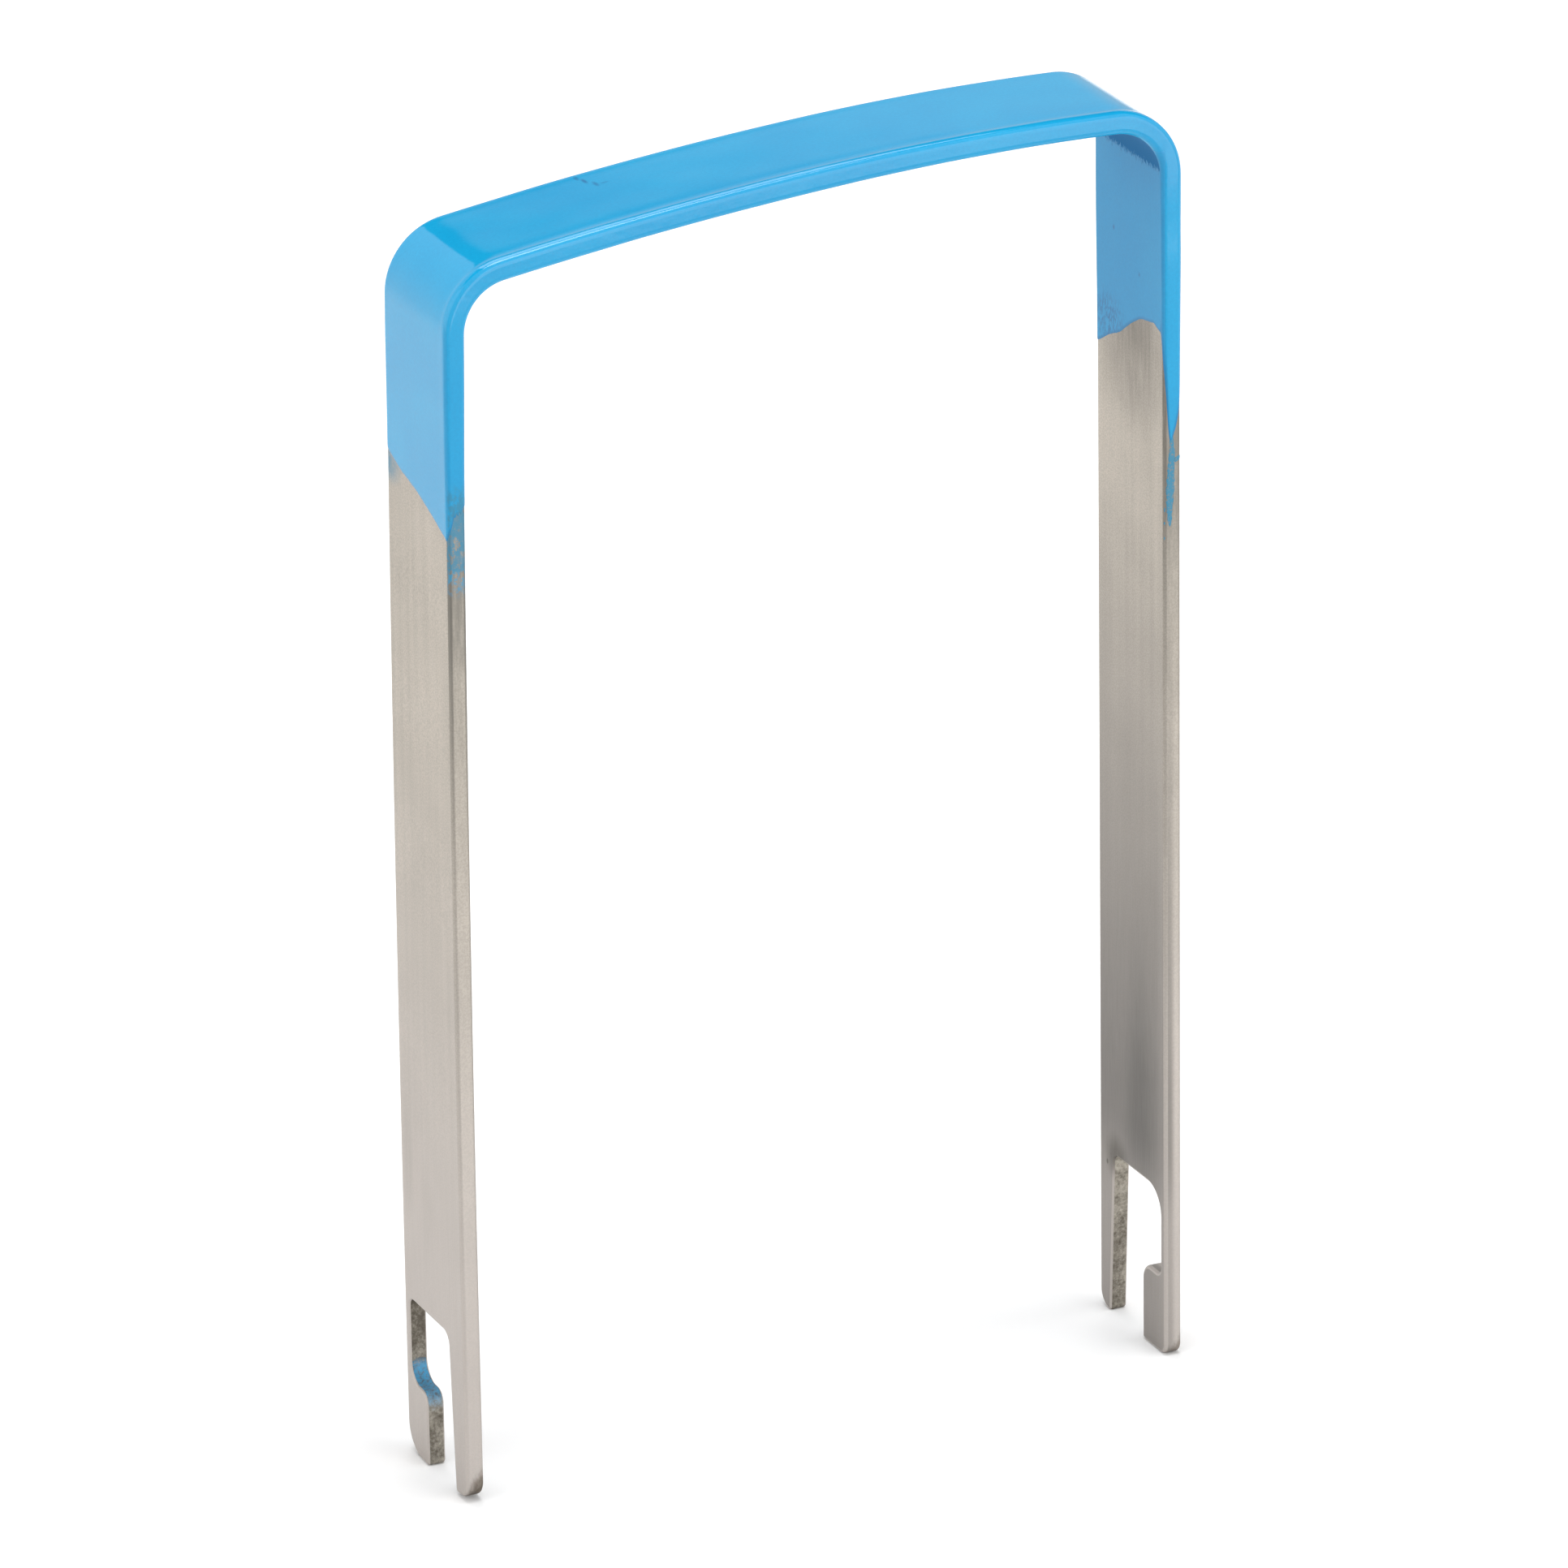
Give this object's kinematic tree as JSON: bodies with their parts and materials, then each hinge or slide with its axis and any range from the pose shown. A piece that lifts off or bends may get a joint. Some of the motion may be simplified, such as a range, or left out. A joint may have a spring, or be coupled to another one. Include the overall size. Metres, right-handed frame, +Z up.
{
  "type": "u-shaped lift handle",
  "caption": "U-shaped handle bent from a flat steel strip, with a coated bridge and a bayonet fork on each leg that hooks over a pin.",
  "frame": {"origin": "centre of the bounding box at the ends of the tines, which it stands on", "axes": "+Z up along the legs, +X along the bridge from the shorter leg to the longer one, -Y to the front"},
  "size_m": [0.0678, 0.013, 0.1145],
  "materials": {
    "bare_steel": "satin, grain along the strip",
    "blue_coat": "glossy dipped coat"
  },
  "bodies": {
    "root": {"steel_strap": "bare_steel", "grip_coating": "blue_coat"}
  },
  "joints": []
}
